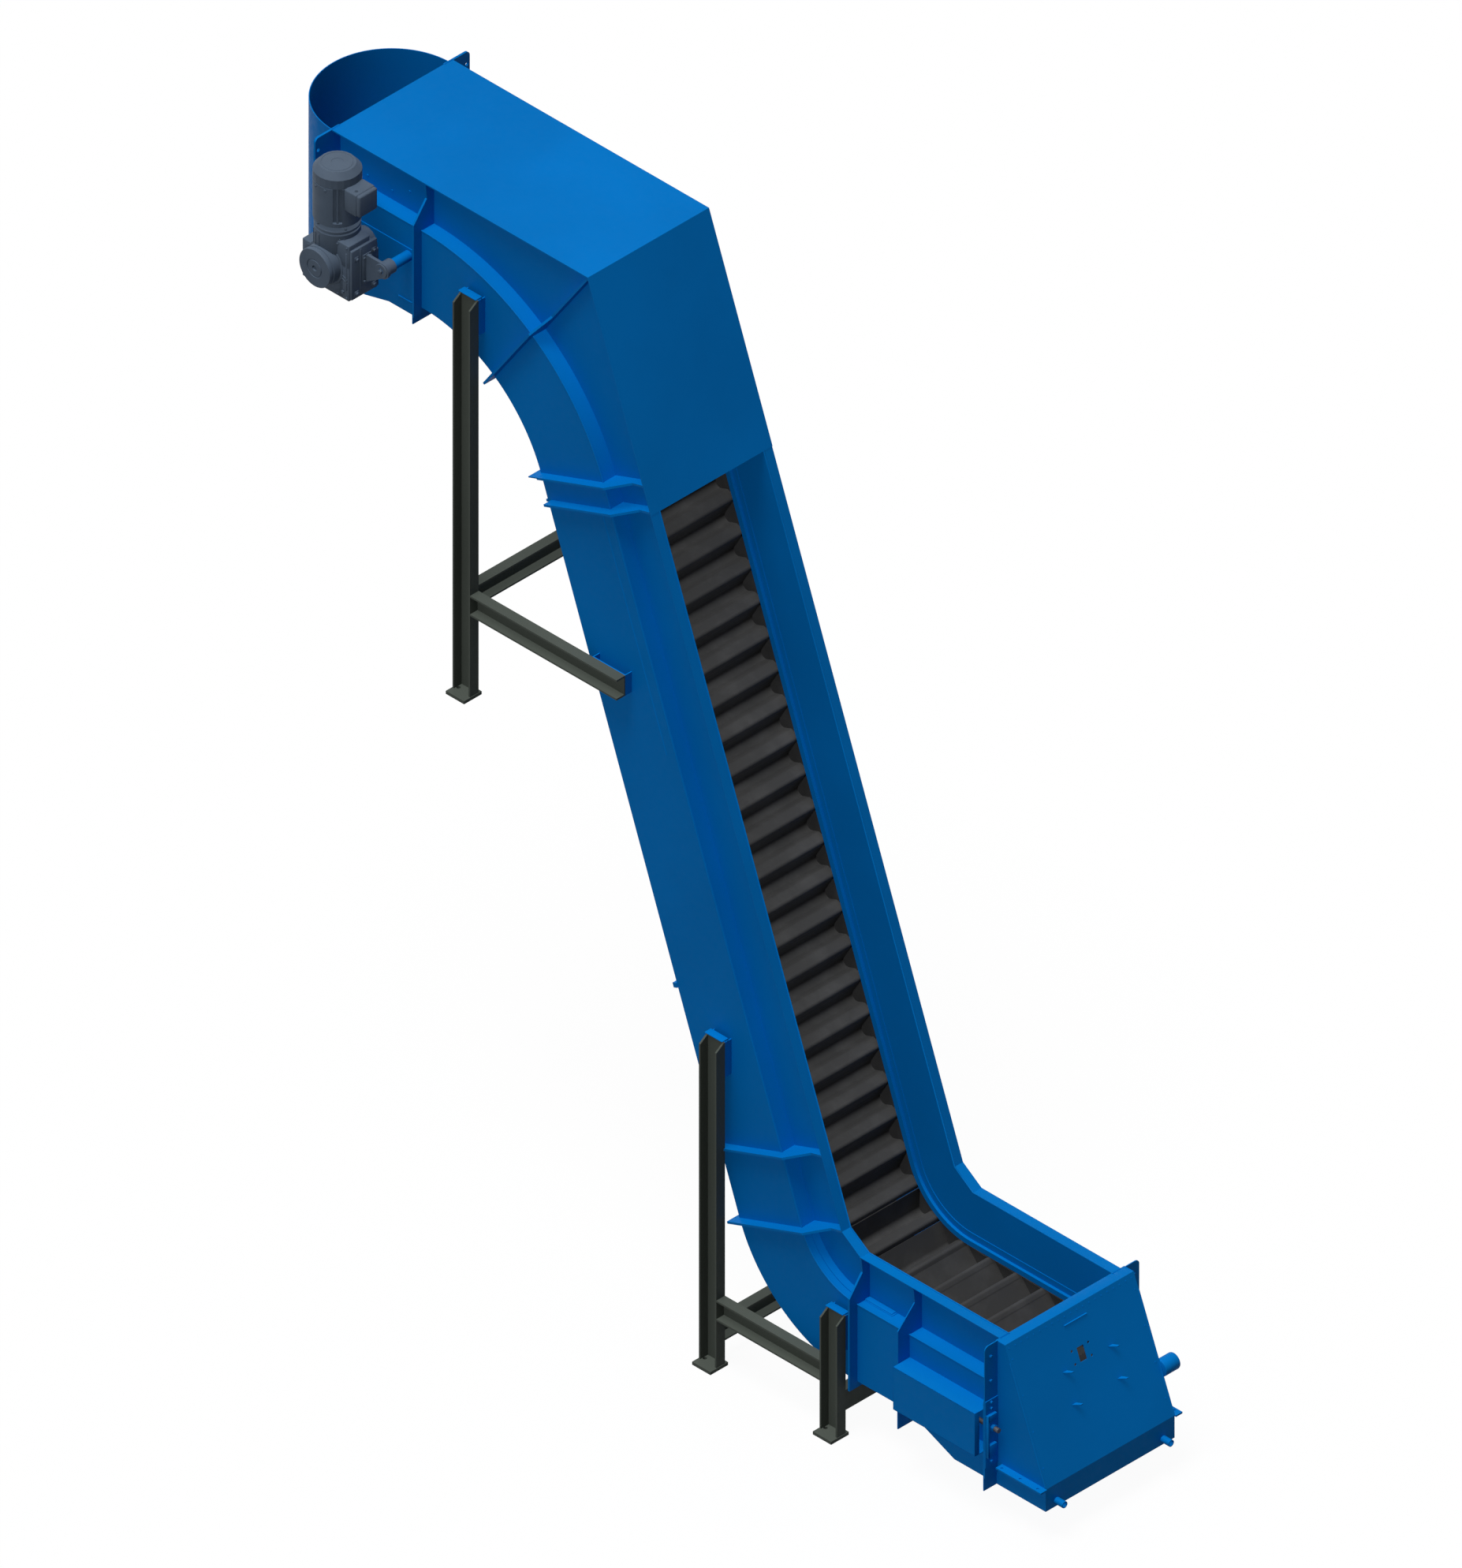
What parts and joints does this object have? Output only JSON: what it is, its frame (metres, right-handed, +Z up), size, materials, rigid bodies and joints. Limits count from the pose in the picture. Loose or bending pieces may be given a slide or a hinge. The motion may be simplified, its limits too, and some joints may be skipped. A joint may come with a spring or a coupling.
{
  "type": "bucket elevator",
  "caption": "Swan-neck bucket elevator with open loading end, steep incline, deep overlapping pans, channel legs, gear motor and half-round discharge chute.",
  "frame": {"origin": "on the floor at the centre of the four lower foot bolt holes", "axes": "+Z up, +X towards the loading end and tail, -Y the drive side"},
  "size_m": [4.4858, 1.1626, 4.9847],
  "materials": {
    "casing_blue": "satin",
    "chute_blue": "satin",
    "guard_blue": "satin",
    "frame_grey": "satin",
    "pan_steel": "satin",
    "chain_steel": "satin",
    "rail_steel": "satin",
    "sprocket_steel": "matte",
    "shaft_steel": "satin",
    "gear_grey": "satin",
    "motor_grey": "satin",
    "rotor_steel": "satin",
    "fan_plastic": "matte",
    "bush_rubber": "matte",
    "bearing_iron": "matte"
  },
  "bodies": {
    "frame": {"head_section": "casing_blue", "convex_bend_upper": "casing_blue", "convex_bend_lower": "casing_blue", "incline_top": "casing_blue", "spacer_section": "casing_blue", "incline_upper": "casing_blue", "incline_lower": "casing_blue", "incline_foot": "casing_blue", "concave_bend": "casing_blue", "loading_section": "casing_blue", "tail_box": "casing_blue", "tail_end_plate": "casing_blue", "sump_pan": "casing_blue", "discharge_chute": "chute_blue", "top_cover": "casing_blue", "slope_cover": "casing_blue", "take_up_guard_near": "guard_blue", "take_up_guard_far": "guard_blue", "shelf_cover": "casing_blue", "skirt_strips": "casing_blue", "leg_brackets": "casing_blue", "torque_pin": "casing_blue", "head_legs": "frame_grey", "rear_legs": "frame_grey", "front_legs": "frame_grey", "head_cross_braces": "frame_grey", "lower_cross_braces": "frame_grey", "head_tie": "frame_grey", "lower_ties": "frame_grey", "carry_rails": "rail_steel", "return_rails": "rail_steel", "pans_open_run": "pan_steel", "pans_covered_run": "pan_steel", "pans_return_run": "pan_steel", "chain_carry_run": "chain_steel", "chain_return_run": "chain_steel", "take_up_nuts": "shaft_steel", "take_up_guides": "rail_steel", "head_bearings": "bearing_iron", "gear_housing": "gear_grey", "gear_hub_cover": "gear_grey", "gear_side_cover": "gear_grey", "torque_arm": "gear_grey", "torque_bush": "bush_rubber", "motor_adapter": "motor_grey", "motor_housing": "motor_grey", "fan_cowl": "motor_grey", "terminal_box": "motor_grey"},
    "head_wheelset": {"head_shaft": "shaft_steel", "head_sprockets": "sprocket_steel", "head_loop_rollers": "chain_steel"},
    "motor_turning": {"motor_rotor": "rotor_steel", "motor_fan": "fan_plastic"},
    "take_up": {"take_up_blocks": "bearing_iron", "take_up_screws": "shaft_steel", "pans_tail_loop": "pan_steel", "chain_tail_loop": "chain_steel"},
    "tail_wheelset": {"tail_shaft": "shaft_steel", "tail_sprockets": "sprocket_steel", "tail_loop_rollers": "chain_steel"}
  },
  "joints": [
    {"name": "head_shaft_turn", "type": "hinge", "parent": "frame", "child": "head_wheelset", "pos_m": [-2.34069, 0, 4.52153], "axis": [0, 1, 0], "continuous": true},
    {"name": "motor_turn", "type": "hinge", "parent": "frame", "child": "motor_turning", "pos_m": [-2.34069, -0.54, 4.8], "axis": [0, 0, 1], "continuous": true},
    {"name": "take_up_slide", "type": "slide", "parent": "frame", "child": "take_up", "axis": [1, 0, 0], "range_m": [0, 0.008]},
    {"name": "tail_shaft_turn", "type": "hinge", "parent": "take_up", "child": "tail_wheelset", "pos_m": [1.01824, 0, 0.4568], "axis": [0, 1, 0], "continuous": true}
  ],
  "couplings": [
    {"joint": "tail_shaft_turn", "follows": "head_shaft_turn", "ratio": 1},
    {"joint": "motor_turn", "follows": "head_shaft_turn", "ratio": 60}
  ]
}
